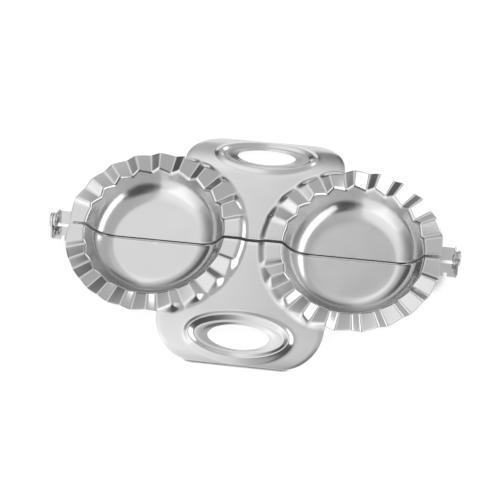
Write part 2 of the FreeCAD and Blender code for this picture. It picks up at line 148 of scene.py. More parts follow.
@dataclass
class Surface:
    """Points and faces of a shape, with its quads and triangles kept apart."""

    points: np.ndarray
    quads: np.ndarray
    triangles: np.ndarray

    @classmethod
    def welded(cls, points: np.ndarray, quads: np.ndarray, triangles: np.ndarray) -> "Surface":
        """Weld the points that lie together.

        A quad that loses a corner to the weld, as at a pole, becomes a triangle.

        Args:
            points: Points of the faces.
            quads: Four point indices for each quad.
            triangles: Three point indices for each triangle.

        Returns:
            The welded surface.
        """
        keys = np.round(points / WELD_STEP).astype(np.int64)
        _, kept, merged = np.unique(keys, axis=0, return_index=True, return_inverse=True)
        merged = merged.reshape(-1)
        quads = merged[quads]
        doubled = quads == np.roll(quads, -1, axis=1)
        lost = doubled.sum(axis=1)
        pinched = np.flatnonzero(lost == 1)
        turn = (doubled[pinched].argmax(axis=1)[:, None] + 1 + np.arange(3)) % 4
        poles = np.take_along_axis(quads[pinched], turn, axis=1)
        return cls(points[kept], quads[lost == 0], np.vstack([merged[triangles], poles]))

    @classmethod
    def from_grids(cls, grids: list[np.ndarray]) -> "Surface":
        """Join grids of points into one surface.

        Args:
            grids: Arrays of points, each rows by columns by three.

        Returns:
            The welded surface.
        """
        starts = np.cumsum([0] + [grid.shape[0] * grid.shape[1] for grid in grids])
        quads = np.vstack([grid_quads(*grid.shape[:2], start) for grid, start in zip(grids, starts)])
        points = np.vstack([grid.reshape(-1, 3) for grid in grids])
        return cls.welded(points, quads, np.zeros((0, 3), dtype=np.int64))

    @classmethod
    def from_node(cls, node: bpy.types.Object) -> "Surface":
        """Copy the loose triangles of a node of the frame.

        Args:
            node: Node to copy.

        Returns:
            The welded surface, in millimetres.
        """
        points = np.zeros(len(node.data.vertices) * 3)
        node.data.vertices.foreach_get("co", points)
        corners = np.zeros(len(node.data.loops), dtype=np.int64)
        node.data.loops.foreach_get("vertex_index", corners)
        no_quads = np.zeros((0, 4), dtype=np.int64)
        return cls.welded(points.reshape(-1, 3) / MM, no_quads, corners.reshape(-1, 3))

    def flipped(self) -> "Surface":
        """Turn every face round."""
        return Surface(self.points, self.quads[:, ::-1], self.triangles[:, ::-1])

    def faces(self) -> list[np.ndarray]:
        """Give the face arrays that have any rows."""
        return [kind for kind in (self.quads, self.triangles) if len(kind)]

    def volume(self) -> float:
        """Add up the signed tetrahedra between the origin and the faces.

        Returns:
            The volume inside a closed surface, negative where its faces point inwards.
        """
        total = 0.0
        for kind in self.faces():
            for last in range(2, kind.shape[1]):
                a, b, c = (self.points[kind[:, corner]] for corner in (0, last - 1, last))
                total += float(np.einsum("ij,ij->", a, np.cross(b, c))) / 6
        return total

    def normals(self) -> np.ndarray:
        """Average the face normals round each point, each weighed by its face's area.

        Returns:
            One unit normal for each point.
        """
        total = np.zeros_like(self.points)
        for kind in self.faces():
            across = self.points[kind[:, 2]] - self.points[kind[:, 0]]
            along = self.points[kind[:, -1]] - self.points[kind[:, 1]]
            area = np.cross(across, along)
            for corner in range(kind.shape[1]):
                np.add.at(total, kind[:, corner], area)
        return total / np.linalg.norm(total, axis=1, keepdims=True)

    def rim_edges(self) -> np.ndarray:
        """Find the edges that only one face has.

        Returns:
            Two point indices for each edge, in its face's direction.
        """
        pairs = [np.stack((kind, np.roll(kind, -1, axis=1)), axis=-1) for kind in self.faces()]
        edges = np.vstack([pair.reshape(-1, 2) for pair in pairs])
        keys = np.sort(edges, axis=1) @ np.array([len(self.points), 1])
        _, where, count = np.unique(keys, return_index=True, return_counts=True)
        return edges[where[count == 1]]

    def thickened(self, gauge: float, edge: float, steps: int = 5) -> "Surface":
        """Give an upward sheet its thickness below, with rounded edges.

        The underside lies one gauge down the normal. An edge is half of a squared oval: half a gauge
        along the normal and `edge` outwards, swept from the top face to the underside.

        Args:
            gauge: Thickness of the sheet.
            edge: How far the rounding stands out past the sheet's own border.
            steps: Faces round the edge.

        Returns:
            The closed sheet.
        """
        count = len(self.points)
        normal = self.normals()
        rim = self.rim_edges()
        run = self.points[rim[:, 1]] - self.points[rim[:, 0]]
        run /= np.linalg.norm(run, axis=1, keepdims=True)
        out = np.zeros_like(self.points)
        for end in (0, 1):
            np.add.at(out, rim[:, end], np.cross(run, normal[rim[:, end]]))
        border = np.unique(rim)
        away = out[border] / np.linalg.norm(out[border], axis=1, keepdims=True)
        turn = np.linspace(0, np.pi, steps + 1)[1:-1, None, None]
        up = normal[border] * gauge / 2
        rise = np.sign(np.cos(turn)) * np.sqrt(np.abs(np.cos(turn)))
        ring = self.points[border] - up + up * rise + away * edge * np.sqrt(np.sin(turn))
        place = np.zeros(count, dtype=np.int64)
        place[border] = np.arange(len(border))
        rows = [border]
        rows += [2 * count + step * len(border) + np.arange(len(border)) for step in range(steps - 1)]
        rows.append(count + border)
        first, last = place[rim[:, 0]], place[rim[:, 1]]
        strips = [
            np.stack((upper[last], upper[first], lower[first], lower[last]), axis=1)
            for upper, lower in zip(rows, rows[1:])
        ]
        return Surface(
            np.vstack([self.points, self.points - gauge * normal, ring.reshape(-1, 3)]),
            np.vstack([self.quads, self.quads[:, ::-1] + count, *strips]),
            np.vstack([self.triangles, self.triangles[:, ::-1] + count]),
        )

    def piece(self, name: str) -> bpy.types.Object:
        """Make a smooth mesh object of the closed surface, with its faces outwards.

        Args:
            name: Name of the piece.

        Returns:
            The object, in metres at the origin.
        """
        whole = self if self.volume() > 0 else self.flipped()
        mesh = bpy.data.meshes.new(name)
        faces = [*whole.quads.tolist(), *whole.triangles.tolist()]
        mesh.from_pydata((whole.points * MM).tolist(), [], faces)
        mesh.polygons.foreach_set("use_smooth", np.ones(len(mesh.polygons), dtype=bool))
        mesh.update()
        return in_scene(name, mesh)


def turned(profile: np.ndarray, centre: tuple[float, float], columns: int = 64) -> Surface:
    """Turn a closed profile about an axle along X.

    Args:
        profile: Rows of place along X and radius, from axle to axle or back to the first row.
        centre: Y and Z of the axle.
        columns: Points round the axle.

    Returns:
        The turned surface.
    """
    angle = np.linspace(0, 2 * np.pi, columns + 1)
    along, radius = profile[:, :1], profile[:, 1:]
    y, z = centre[0] + radius * np.cos(angle), centre[1] + radius * np.sin(angle)
    grid = np.stack(np.broadcast_arrays(along, y, z), axis=-1)
    grid[:, -1] = grid[:, 0]
    return Surface.from_grids([grid])


# Finishes


def linear(colour: str) -> tuple[float, float, float, float]:
    """Turn an sRGB hex colour into linear values by the sRGB curve.

    Args:
        colour: Six hex digits after a number sign.

    Returns:
        Linear red, green, blue and full opacity.
    """
    share = np.array([int(colour[place : place + 2], 16) for place in (1, 3, 5)]) / 255
    value = np.where(share <= 0.04045, share / 12.92, ((share + 0.055) / 1.055) ** 2.4)
    return (*value.tolist(), 1.0)


def add_node(
    tree: bpy.types.NodeTree, kind: str, inputs: dict[int | str, object] | None = None, **settings: object
) -> bpy.types.Node:
    """Add a node with its settings, and fill or link its inputs.

    Args:
        tree: Node tree that takes the node.
        kind: Blender's name of the node.
        inputs: For each input, by name or place, another node's output or a plain value.
        **settings: Properties of the node itself.

    Returns:
        The new node.
    """
    node = tree.nodes.new(kind)
    for name, value in settings.items():
        setattr(node, name, value)
    for key, value in (inputs or {}).items():
        if isinstance(value, bpy.types.NodeSocket):
            tree.links.new(value, node.inputs[key])
        else:
            node.inputs[key].default_value = value
    return node


def fresh_material(name: str) -> tuple[bpy.types.Material, bpy.types.NodeTree]:
    """Make an empty node material.

    Args:
        name: Name of the material.

    Returns:
        The material and its node tree.
    """
    material = bpy.data.materials.new(name)
    material.use_nodes = True
    material.node_tree.nodes.clear()
    return material, material.node_tree


@dataclass(frozen=True)
class BrushedSteel:
    """Stainless steel, cold rolled and satin brushed: a neutral mirror that fine streaks blur.

    The streaks of a real satin finish are about 0.05 mm wide. They are drawn several times wider, so
    that a few of them show at the size of a picture. Slow clouds of gloss come from the press work.
    """

    name: str
    colour: str
    roughness: float
    grain: Grain
    streak: float = 0.35
    streak_depth: float = 0.00022
    streak_detail: float = 4.0
    streak_mix: float = 0.6
    cloud: float = 16.0
    cloud_detail: float = 2.0
    gloss_limits: tuple[float, float] = (0.7, 1.3)
    gloss_spread: float = 0.05

    def material(self) -> bpy.types.Material:
        """Build the finish: streaks of bump and gloss along the grain, and slow clouds of gloss.

        Returns:
            The material.
        """
        material, tree = fresh_material(self.name)
        place = add_node(tree, "ShaderNodeTexCoord").outputs["Object"]
        stretch = [share / MM for share in self.grain.value]
        along = add_node(tree, "ShaderNodeMapping", {"Vector": place, "Scale": stretch}).outputs["Vector"]
        streaks = add_node(
            tree,
            "ShaderNodeTexNoise",
            {
                "Vector": along,
                "Scale": 1 / self.streak,
                "Detail": self.streak_detail,
                "Roughness": self.streak_mix,
            },
        ).outputs["Fac"]
        clouds = add_node(
            tree,
            "ShaderNodeTexNoise",
            {"Vector": place, "Scale": 1 / (self.cloud * MM), "Detail": self.cloud_detail},
        ).outputs["Fac"]
        mixed = add_node(tree, "ShaderNodeMath", {0: streaks, 1: clouds}, operation="ADD").outputs["Value"]
        gloss = add_node(
            tree,
            "ShaderNodeMapRange",
            {
                "Value": mixed,
                "From Min": self.gloss_limits[0],
                "From Max": self.gloss_limits[1],
                "To Min": self.roughness - self.gloss_spread,
                "To Max": self.roughness + self.gloss_spread,
            },
        ).outputs["Result"]
        bump = add_node(
            tree, "ShaderNodeBump", {"Distance": self.streak_depth * MM, "Height": streaks}
        ).outputs["Normal"]
        steel = add_node(
            tree,
            "ShaderNodeBsdfPrincipled",
            {"Base Color": linear(self.colour), "Metallic": 1.0, "Roughness": gloss, "Normal": bump},
        )
        add_node(tree, "ShaderNodeOutputMaterial", {"Surface": steel.outputs["BSDF"]})
        return material


@dataclass(frozen=True)
class TablePaint:
    """Matt white paint of a studio table: white to the eye and in the steel, with painted shade in gaps.

    The paint has a share of its own light, so that the table shows white. That light is taken away in
    narrow gaps and, along the hinge line, under the press, as painted shade, so that the parting line
    shows dark. The matt coat keeps the cast shadow, and its colour is darkened to black in narrow gaps as
    painted shade.
    """

    name: str = "matt_white_table"
    colour: str = "#7C7C7C"
    own_light: float = 0.88
    crevice: float = 1.5
    crevice_open: tuple[float, float] = (0.72, 0.9)
    cover: float = 30.0
    cover_open: tuple[float, float] = (0.3, 0.5)
    hinge_side: tuple[float, float] = (8.0, 15.0)
    hinge_end: tuple[float, float] = (95.0, 101.0)
    sky_samples: int = 12

    def open_share(
        self, tree: bpy.types.NodeTree, reach: float, limits: tuple[float, float]
    ) -> bpy.types.NodeSocket:
        """Give 1 where the table is open and 0 where it is covered within a reach.

        Args:
            tree: Node tree of the paint.
            reach: How far a cover counts, in millimetres.
            limits: Open shares of the sky that count as covered and as open.

        Returns:
            The output that holds the share.
        """
        # Painted shade: where little of the sky is open within the reach, the table's own light is taken
        # away.
        sky = add_node(
            tree, "ShaderNodeAmbientOcclusion", {"Distance": reach * MM}, samples=self.sky_samples
        )
        share = add_node(
            tree,
            "ShaderNodeMapRange",
            {"Value": sky.outputs["AO"], "From Min": limits[0], "From Max": limits[1]},
        )
        return share.outputs["Result"]

    def beside_hinge(
        self, tree: bpy.types.NodeTree, axis: str, limits: tuple[float, float]
    ) -> bpy.types.NodeSocket:
        """Give 0 near the hinge line and 1 away from it, along one axis.

        Args:
            tree: Node tree of the paint.
            axis: Letter of the axis.
            limits: Distances from the middle of the press that count as near and as away.

        Returns:
            The output that holds the share.
        """
        # Painted shade: a position mask along the hinge line, under which the table's own light is taken
        # away.
        place = add_node(tree, "ShaderNodeTexCoord").outputs["Object"]
        along = add_node(tree, "ShaderNodeSeparateXYZ", {"Vector": place}).outputs[axis]
        away = add_node(tree, "ShaderNodeMath", {0: along}, operation="ABSOLUTE").outputs["Value"]
        near, far = (limit * MM for limit in limits)
        share = add_node(tree, "ShaderNodeMapRange", {"Value": away, "From Min": near, "From Max": far})
        return share.outputs["Result"]

    def material(self) -> bpy.types.Material:
        """Build the paint: a matt coat whose colour is darkened in narrow gaps as painted shade, plus its
        own light for the eye and for mirrored rays, taken away in gaps and along the hinge line as painted
        shade.

        Returns:
            The material.
        """
        material, tree = fresh_material(self.name)
        path = add_node(tree, "ShaderNodeLightPath").outputs
        seen = add_node(
            tree,
            "ShaderNodeMath",
            {0: path["Is Camera Ray"], 1: path["Is Glossy Ray"]},
            operation="MAXIMUM",
        ).outputs["Value"]
        # Painted shade: masks that take the table's own light away in narrow gaps and near the hinge line.
        crevice = self.open_share(tree, self.crevice, self.crevice_open)
        clear = self.open_share(tree, self.cover, self.cover_open)
        for axis, limits in (("Y", self.hinge_side), ("X", self.hinge_end)):
            away = self.beside_hinge(tree, axis, limits)
            either = add_node(tree, "ShaderNodeMath", {0: clear, 1: away}, operation="MAXIMUM")
            clear = either.outputs["Value"]
        strength = self.own_light
        for share in (seen, crevice, clear):
            lit = add_node(tree, "ShaderNodeMath", {0: strength, 1: share}, operation="MULTIPLY")
            strength = lit.outputs["Value"]
        # Painted shade: the coat's colour is scaled down to black in narrow gaps.
        paint = add_node(
            tree, "ShaderNodeVectorMath", {0: linear(self.colour)[:3], "Scale": crevice}, operation="SCALE"
        )
        coat = add_node(tree, "ShaderNodeBsdfDiffuse", {"Color": paint.outputs["Vector"]})
        glow = add_node(tree, "ShaderNodeEmission", {"Strength": strength})
        both = add_node(tree, "ShaderNodeAddShader", {0: coat.outputs["BSDF"], 1: glow.outputs["Emission"]})
        add_node(tree, "ShaderNodeOutputMaterial", {"Surface": both.outputs["Shader"]})
        return material


# Pressed halves


@dataclass(frozen=True)
class Ruffle:
    """Zigzag of a half rim: flat end pads, then waves with one wide and one narrow facet each.

    A crease is rounded over its angle to either side, and has mesh columns at multiples of that angle.
    """

    count: int = 9
    start: float = 15.0
    rise_share: float = 0.62
    height: float = 2.4
    crease: float = 1.0
    crease_columns: tuple[float, ...] = (-1.5, -1.0, -0.6, -0.3, 0.0, 0.3, 0.6, 1.0, 1.5)
    pad_columns: int = 7

    def creases(self) -> tuple[np.ndarray, np.ndarray]:
        """Work out the creases of the zigzag: a valley and a crest in each wave, between level pads.

        Returns:
            The angle of each crease, and its height as a share of half a wave.
        """
        step = (180 - 2 * self.start) / self.count
        rise = step * self.rise_share
        valley = self.start + (step - rise) / 2 + step * np.arange(self.count)
        inner = np.stack((valley, valley + rise), axis=1).reshape(-1)
        angle = np.concatenate(([0, self.start], inner, [180 - self.start, 180]))
        share = np.concatenate(([0, 0], np.tile([-1, 1], self.count), [0, 0]))
        return angle, share

    def rise(self, angle: np.ndarray, half: Half) -> np.ndarray:
        """Give the height of the sharp zigzag over the rim's middle level.

        Args:
            angle: Angles round the mould.
            half: The front half has the same waves upside down, so that the two interlock.

        Returns:
            Heights above or below the middle level.
        """
        return half.value * self.height / 2 * np.interp(angle, *self.creases())

    def columns(self, first: float) -> np.ndarray:
        """Choose the angles of the mesh columns, close together at the creases.

        Args:
            first: Angle of the column at the parting line.

        Returns:
            Angles from one parting line to the other.
        """
        crease = self.creases()[0][1:-1]
        near = self.crease * np.array(self.crease_columns)
        close = (crease[:, None] + near).reshape(-1)
        middle = (crease[1:] + crease[:-1]) / 2
        pads = np.linspace(first, self.start, self.pad_columns)[:-1]
        return np.sort(np.concatenate((close, middle, pads, 180 - pads)))


@dataclass
class PressedHalf:
    """One half of the press: two half dishes with ruffled rims, the web between them and the tab.

    The top face is a height over the table, worked out from straight pieces and then averaged over a
    small window, which rounds every crease and corner by about the window's width.
    """

    half: Half
    finish: BrushedSteel
    ruffle: Ruffle = field(default_factory=Ruffle)
    gauge: float = 0.7
    edge: float = 0.22
    parting: float = 0.8

    # Dish and rim
    mould_offset: float = 52.0
    rim_level: float = 12.2
    rim_outer: float = 46.5
    rim_inner: float = 36.5
    end_taper: float = 2.0
    wall_slope: float = 59.0
    dish_fillet: float = 13.6
    corner_window: float = 0.8

    # Skirt beside the web
    skirt_setback: float = 0.8
    skirt_taper: float = 0.33
    skirt_foot: float = 48.7
    skirt_end: float = 78.5
    foot_taper: float = 2.0
    foot_taper_span: float = 8.0
    foot_margin: float = 1.0

    # Web and tab
    web_level: float = 10.8
    web_split: float = 45.0
    tab_flat: float = 39.0
    tab_bend: float = 45.0
    tab_reach: float = 66.6
    tab_corner: float = 20.0

    # Pressed ring, with the inset and height of each corner of its bead, and finger hole
    ring_centre: float = 53.4
    ring_length: float = 28.2
    ring_width: float = 12.9
    bead_width: float = 5.6
    bead_section: tuple[tuple[float, float], ...] = (
        (0.1, 0.0), (2.3, 0.95), (2.8, 0.95), (5.3, -0.65),
        (5.6, -0.65), (5.85, -0.52), (6.1, -0.65), (6.9, -1.4),
    )
    bead_window: float = 0.4
    hole_length: float = 14.7
    hole_width: float = 5.8

    # Rows and columns of the mesh
    window_steps: int = 9
    floor_rows: tuple[float, ...] = (0.12, 0.3, 0.5, 0.7, 0.86)
    fillet_rows: int = 15
    lip_windows: float = 2.0
    lip_rows: int = 13
    land_rows: int = 5
    skirt_rows: int = 16
    rim_rows: int = 3
    web_columns: int = 24
    corner_columns: int = 26
    end_columns: int = 31
    tab_rows: tuple[float, ...] = (0.0, 0.2, 0.4, 0.6, 0.78, 0.9)
    bead_window_steps: int = 15
    bead_margin: float = 1.0
    bead_row: float = 0.16
    cone_rows: int = 5
    least_swing: float = 0.004

    @property
    def border(self) -> float:
        """Distance from the hinge line to the sheet's border, before the edge is rounded."""
        return self.parting + self.edge

    def web_height(self, y: np.ndarray, raised: np.ndarray | float = 0.0) -> np.ndarray:
        """Give the top of the web and tab: level beside the hinge, then a roll of one radius.

        Args:
            y: Distance from the hinge line.
            raised: Height over the plain sheet, along its normal.

        Returns:
            Height over the table.
        """
        run = np.maximum(0, y - self.tab_flat)
        return self.web_level - self.tab_bend + np.sqrt((self.tab_bend + raised) ** 2 - run**2)

    @property
    def slope(self) -> float:
        """Lean of a dish's wall from the table, in radians."""
        return np.radians(self.wall_slope)

    @property
    def fillet_reach(self) -> float:
        """Width of the fillet between a dish's floor and wall, in plan."""
        return self.dish_fillet * np.sin(self.slope)

    @property
    def floor_radius(self) -> float:
        """Radius of a dish's flat floor: the mouth, less the wall's lean and the fillet's tangent."""
        lean = (self.rim_level - self.gauge) / np.tan(self.slope)
        return self.rim_inner - lean - self.dish_fillet * np.tan(self.slope / 2)

    def dish_height(self, radius: np.ndarray) -> np.ndarray:
        """Give the inside of a dish: flat floor, fillet arc, then a straight wall past the rim.

        Args:
            radius: Distance from the mould's axis.

        Returns:
            Height over the table.
        """
        past = radius - self.floor_radius
        arc = np.clip(past, 0, self.fillet_reach)
        wall = np.maximum(0, past - self.fillet_reach) * np.tan(self.slope)
        return self.gauge + self.dish_fillet - np.sqrt(self.dish_fillet**2 - arc**2) + wall

    def skirt_lines(self, angle: np.ndarray, side: Side) -> tuple[np.ndarray, np.ndarray]:
        """Draw the skirt's two lines in plan; its foot draws in smoothly towards its end.

        Args:
            angle: Angles round the mould.
            side: Mould that the skirt belongs to.

        Returns:
            Radius of the rim's bent edge and of the skirt's foot.
        """
        edge = self.rim_outer - self.skirt_setback - self.skirt_taper * self.ruffle.rise(angle, self.half)
        ease = np.clip((side.from_web(angle) - self.skirt_end) / self.foot_taper_span + 1, 0, 1)
        return edge, self.skirt_foot - self.foot_taper * ease**2 * (3 - 2 * ease)

    def raw_height(self, radius: np.ndarray, angle: np.ndarray, side: Side, skirted: bool) -> np.ndarray:
        """Give a mould's sharp top face: the dish's wall up to the rim, then the skirt where it has one.

        Args:
            radius: Distance from the mould's axis.
            angle: Angle round the mould.
            side: Mould that the face belongs to.
            skirted: Whether the stretch runs on into the skirt.

        Returns:
            Height over the table.
        """
        rim = self.rim_level + self.ruffle.rise(angle, self.half)
        land = np.minimum(self.dish_height(radius), rim)
        if not skirted:
            return land
        edge, foot = self.skirt_lines(angle, side)
        down = np.sin(np.radians(angle))
        ground = self.web_height(foot * down)
        fall = rim + (ground - rim) * (radius - edge) / (foot - edge)
        return np.where(radius > edge, np.maximum(fall, self.web_height(radius * down)), land)

    def mould_points(self, radius: np.ndarray, angle: np.ndarray, side: Side, skirted: bool) -> np.ndarray:
        """Lay a grid of the mould's own radius and angle on its rounded top face.

        The height is the mean of the sharp one over a window of a crease's angle by a corner's radius.

        Args:
            radius: Radius of each grid point.
            angle: Angle of each grid point.
            side: Mould to lay it on.
            skirted: Whether the stretch runs on into the skirt.

        Returns:
            Points of the grid.
        """
        window = np.linspace(-1, 1, self.window_steps)
        turn = angle + self.ruffle.crease * window[:, None, None, None]
        away = radius + self.corner_window * window[:, None, None]
        height = self.raw_height(np.abs(away), turn, side, skirted).mean(axis=(0, 1))
        x = side.value * self.mould_offset + radius * np.cos(np.radians(angle))
        return np.stack((x, radius * np.sin(np.radians(angle)), height), axis=-1)

    def mould_grids(self, side: Side) -> tuple[list[np.ndarray], np.ndarray]:
        """Cover one half mould: dish and rim, the rim's free edge, and the skirt beside the web.

        Args:
            side: Mould to cover.

        Returns:
            The grids, and the points along the skirt's foot from the parting line outwards.
        """
        floor = self.floor_radius
        low = self.border_angle(floor + self.fillet_reach)
        angle = self.ruffle.columns(low)
        corner = self.rim_inner + self.ruffle.rise(angle, self.half) / np.tan(self.slope)
        bent, foot = self.skirt_lines(angle, side)
        from_web = side.from_web(angle)
        taper = self.end_taper * np.clip(1 - (180 - from_web) / self.ruffle.start, 0, 1)
        outer = self.rim_outer - self.edge - taper
        land = np.minimum(bent, outer) - self.lip_windows * self.corner_window

        # Dish, lip and the rim's land, whose end columns lie along the parting line
        swing = np.linspace(0, self.slope, self.fillet_rows)
        bowl = floor * np.array([self.border / floor, *self.floor_rows])
        bowl = np.append(bowl, floor + self.dish_fillet * np.sin(swing))
        windows = np.linspace(-self.lip_windows, self.lip_windows, self.lip_rows)[:, None]
        lip = corner + self.corner_window * windows
        flat = lip[-1] + (land - lip[-1]) * np.linspace(0, 1, self.land_rows)[1:, None]
        radius = np.vstack([np.repeat(bowl[:, None], len(angle), axis=1), lip, flat])
        turn = np.tile(angle, (len(radius), 1))
        lows = self.border_angle(bowl)[:, None]
        turn[: len(bowl)] = lows + (angle - low) * (90 - lows) / (90 - low)
        turn = self.to_border(radius, turn, first=True, last=True)
        grids = [self.mould_points(radius, turn, side, skirted=False)]

        # Past the land: the skirt on the web side and the rim's free edge elsewhere
        nearest = np.abs(from_web - self.skirt_end).argmin()
        left_part, right_part = slice(nearest, None), slice(0, nearest + 1)
        web_side, free_side = (right_part, left_part) if side is Side.LEFT else (left_part, right_part)
        shared = land + self.corner_window
        skirt = shared + (foot + self.foot_margin - shared) * np.linspace(0, 1, self.skirt_rows)[:, None]
        rim = shared + (outer - shared) * np.linspace(0, 1, self.rim_rows)[:, None]
        for rows, part, skirted in ((skirt, web_side, True), (rim, free_side, False)):
            kept = np.vstack([land, rows])[:, part]
            turn = np.tile(angle[part], (len(kept), 1))
            turn = self.to_border(kept, turn, first=part is right_part, last=part is left_part)
            grids.append(self.mould_points(kept, turn, side, skirted))
        line = grids[1][-1]
        return grids, line if side is Side.LEFT else line[::-1]

    def border_angle(self, radius: np.ndarray) -> np.ndarray:
        """Give the angle at which a circle of a mould meets the parting line's border."""
        return np.degrees(np.arcsin(np.clip(self.border / radius, -1, 1)))

    def to_border(self, radius: np.ndarray, turn: np.ndarray, first: bool, last: bool) -> np.ndarray:
        """Move a grid's first or last column to the border along the parting line.

        Args:
            radius: Radius of each grid point.
            turn: Angle of each grid point.
            first: Whether the first column is at the border.
            last: Whether the last column is at the border.

        Returns:
            The angles.
        """
        turn = turn.copy()
        if first:
            turn[:, 0] = self.border_angle(radius[:, 0])
        if last:
            turn[:, -1] = 180 - self.border_angle(radius[:, -1])
        return turn

    def bead(self, inset: np.ndarray) -> np.ndarray:
        """Give the pressed ring's height over the tab from its distance inside the ring's outline.

        A rounded bead rises and falls below the tab, a fine line marks its foot, and a shallow cone
        runs on to the finger hole. The corners are the mean over a short window.

        Args:
            inset: Distance inside the outline.

        Returns:
            Height along the tab's normal.
        """
        place, height = np.transpose(self.bead_section)
        window = self.bead_window * np.linspace(-1, 1, self.bead_window_steps)
        return np.interp(inset[..., None] + window, place, height).mean(axis=-1)

    def tab_grids(self, left: np.ndarray, right: np.ndarray) -> list[np.ndarray]:
        """Cover the web between the two skirts with rows from foot to foot, and then the tab.

        The tab's outline starts along the web's last row, follows the right skirt to its end, goes round
        two quarter ovals with a straight end between them, and comes back along the left skirt.

        Args:
            left: Points along the left skirt's foot, from the parting line outwards.
            right: Points along the right skirt's foot.

        Returns:
            The two grids.
        """
        across = np.linspace(0, 1, self.web_columns + 1)[None, :, None]
        turn = np.degrees(np.arctan2(left[:, 1], left[:, 0] + self.mould_offset))
        split = np.abs(turn - self.web_split).argmin()
        web = left[: split + 1, None] + across * (right - left)[: split + 1, None]
        web[:, 1:-1, 2] = self.web_height(web[:, 1:-1, 1])

        # Outline of the tab
        quarter = np.linspace(0, np.pi / 2, self.corner_columns)[1:, None]
        corner = right[-1]
        nose = np.array([corner[0] - self.tab_corner, corner[1]])
        reach = np.array([self.tab_corner, self.tab_reach - self.edge - corner[1]])
        bend = nose + reach * np.concatenate((np.cos(quarter), np.sin(quarter)), axis=1)
        span = np.linspace(1, -1, self.end_columns)[1:-1]
        end = bend[-1] * np.column_stack((span, np.ones_like(span)))
        plan = np.vstack([bend, end, bend[::-1] * np.array([-1, 1])])
        outline = np.column_stack((plan, self.web_height(plan[:, 1])))
        loop = np.vstack([web[-1], right[split + 1 :], outline, left[:split:-1], web[-1][:1]])
        return [web, self.ring_grid(loop)]

    def ring_grid(self, loop: np.ndarray) -> np.ndarray:
        """Cover the tab with loops that close in on the ring's oval, then ovals down to the hole.

        Each point of the outline leads to a bearing on the oval. A bearing moves on by a least step from
        the one before it, so that the grid's lines stay apart.

        Args:
            loop: Points of the tab's outline, back to the first one.

        Returns:
            The grid, from the outline to the edge of the finger hole.
        """
        centre = np.array([0, self.ring_centre])
        ring = np.array([self.ring_length, self.ring_width])
        hole = np.array([self.hole_length, self.hole_width])
        offset = (loop[:, :2] - centre) / ring
        bearing = np.unwrap(np.arctan2(offset[:, 1], offset[:, 0]))
        swept = np.append(0, np.cumsum(np.maximum(np.diff(bearing), self.least_swing)))
        swing = bearing[0] + swept * 2 * np.pi / swept[-1]
        oval = np.stack((np.cos(swing), np.sin(swing)), axis=-1)

        # Ovals of the ring and its cone, from the ring's outline inwards
        past_bead = self.bead_width + self.bead_margin
        bead_rows = np.arange(0, past_bead, self.bead_row)
        cone_end = self.ring_width - self.hole_width - self.edge
        cone_rows = np.linspace(past_bead, cone_end, self.cone_rows)[1:]
        insets = np.concatenate((bead_rows, cone_rows))[:, None, None]
        cone = ring - hole - self.bead_width
        deeper = np.maximum(0, insets - self.bead_width) / cone[1]
        rings = centre + (ring - np.minimum(insets, self.bead_width) - deeper * cone) * oval

        # Loops between the tab's outline and the ring, and the height of them all
        share = np.array(self.tab_rows)[:, None, None]
        plain = loop[:, :2] + share * (rings[0] - loop[:, :2])
        flat = np.concatenate((plain, rings))
        raised = np.zeros(flat.shape[:2])
        raised[len(plain) :] = self.bead(insets[:, :, 0])
        tab = np.concatenate((flat, self.web_height(flat[..., 1], raised)[..., None]), axis=-1)
        tab[0] = loop
        return tab

    def build(self) -> bpy.types.Object:
        """Make the sheet of this half, dress it and let it stand for its node.

        Returns:
            The piece.
        """
        left_grids, left = self.mould_grids(Side.LEFT)
        right_grids, right = self.mould_grids(Side.RIGHT)
        mirror = np.array([1, self.half.value, 1])
        grids = [grid * mirror for grid in left_grids + right_grids + self.tab_grids(left, right)]
        sheet = Surface.from_grids([facing_up(grid) for grid in grids])
        piece = sheet.thickened(self.gauge, self.edge).piece(f"{self.half.word}_sheet")
        piece.data.materials.append(self.finish.material())
        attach(piece, self.half.body)
        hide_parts(f"{self.half.word}_plate")
        return piece


# Hinges


